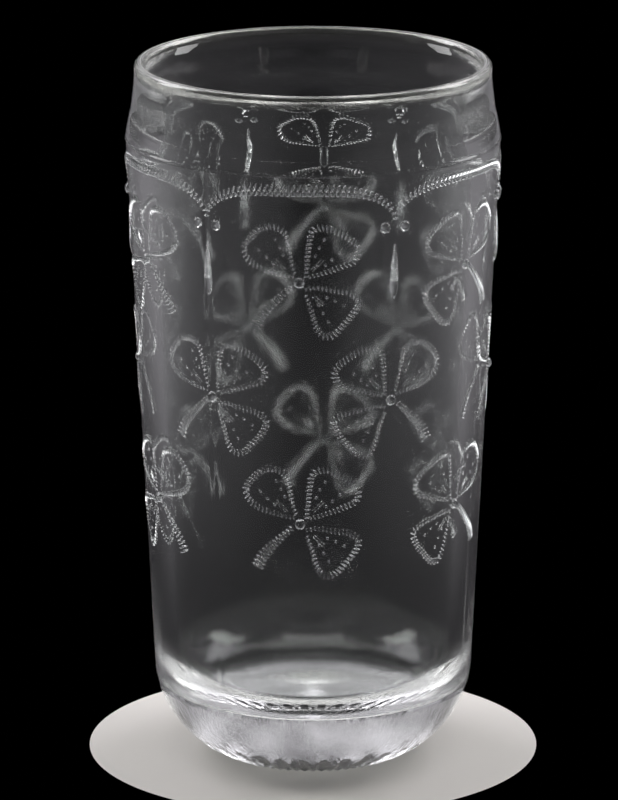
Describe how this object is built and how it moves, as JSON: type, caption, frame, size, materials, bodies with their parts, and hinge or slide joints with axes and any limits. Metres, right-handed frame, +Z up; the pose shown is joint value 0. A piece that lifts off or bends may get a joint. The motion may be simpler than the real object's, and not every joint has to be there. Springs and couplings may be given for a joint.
{
  "type": "drinking glass",
  "caption": "Tall pressed-glass tumbler with a rounded heel, a thick starred base, a plain collar, a ribbed garland with beads and drops, and rows of clover sprigs in relief.",
  "frame": {"origin": "centre of the foot, on the surface that the glass stands on", "axes": "+Z up along the axis of the glass, -Y is the front in the picture"},
  "size_m": [0.0744, 0.0748, 0.14],
  "materials": {
    "clear_glass": "pressed",
    "rim_glass": "fire-polished",
    "relief_glass": "pressed relief"
  },
  "bodies": {
    "root": {"base": "clear_glass", "barrel": "clear_glass", "collar": "clear_glass", "rim": "rim_glass", "garland_1": "relief_glass", "garland_2": "relief_glass", "garland_3": "relief_glass", "garland_4": "relief_glass", "garland_5": "relief_glass", "garland_6": "relief_glass", "bead_1": "relief_glass", "bead_2": "relief_glass", "bead_3": "relief_glass", "bead_4": "relief_glass", "bead_5": "relief_glass", "bead_6": "relief_glass", "bead_7": "relief_glass", "bead_8": "relief_glass", "bead_9": "relief_glass", "bead_10": "relief_glass", "bead_11": "relief_glass", "bead_12": "relief_glass", "drop_1": "relief_glass", "drop_2": "relief_glass", "drop_3": "relief_glass", "drop_4": "relief_glass", "drop_5": "relief_glass", "drop_6": "relief_glass", "sprig_high_1": "relief_glass", "sprig_high_2": "relief_glass", "sprig_high_3": "relief_glass", "sprig_high_4": "relief_glass", "sprig_high_5": "relief_glass", "sprig_high_6": "relief_glass", "sprig_middle_1": "relief_glass", "sprig_middle_2": "relief_glass", "sprig_middle_3": "relief_glass", "sprig_middle_4": "relief_glass", "sprig_middle_5": "relief_glass", "sprig_middle_6": "relief_glass", "sprig_low_1": "relief_glass", "sprig_low_2": "relief_glass", "sprig_low_3": "relief_glass", "sprig_low_4": "relief_glass", "sprig_low_5": "relief_glass", "sprig_low_6": "relief_glass"}
  },
  "joints": []
}
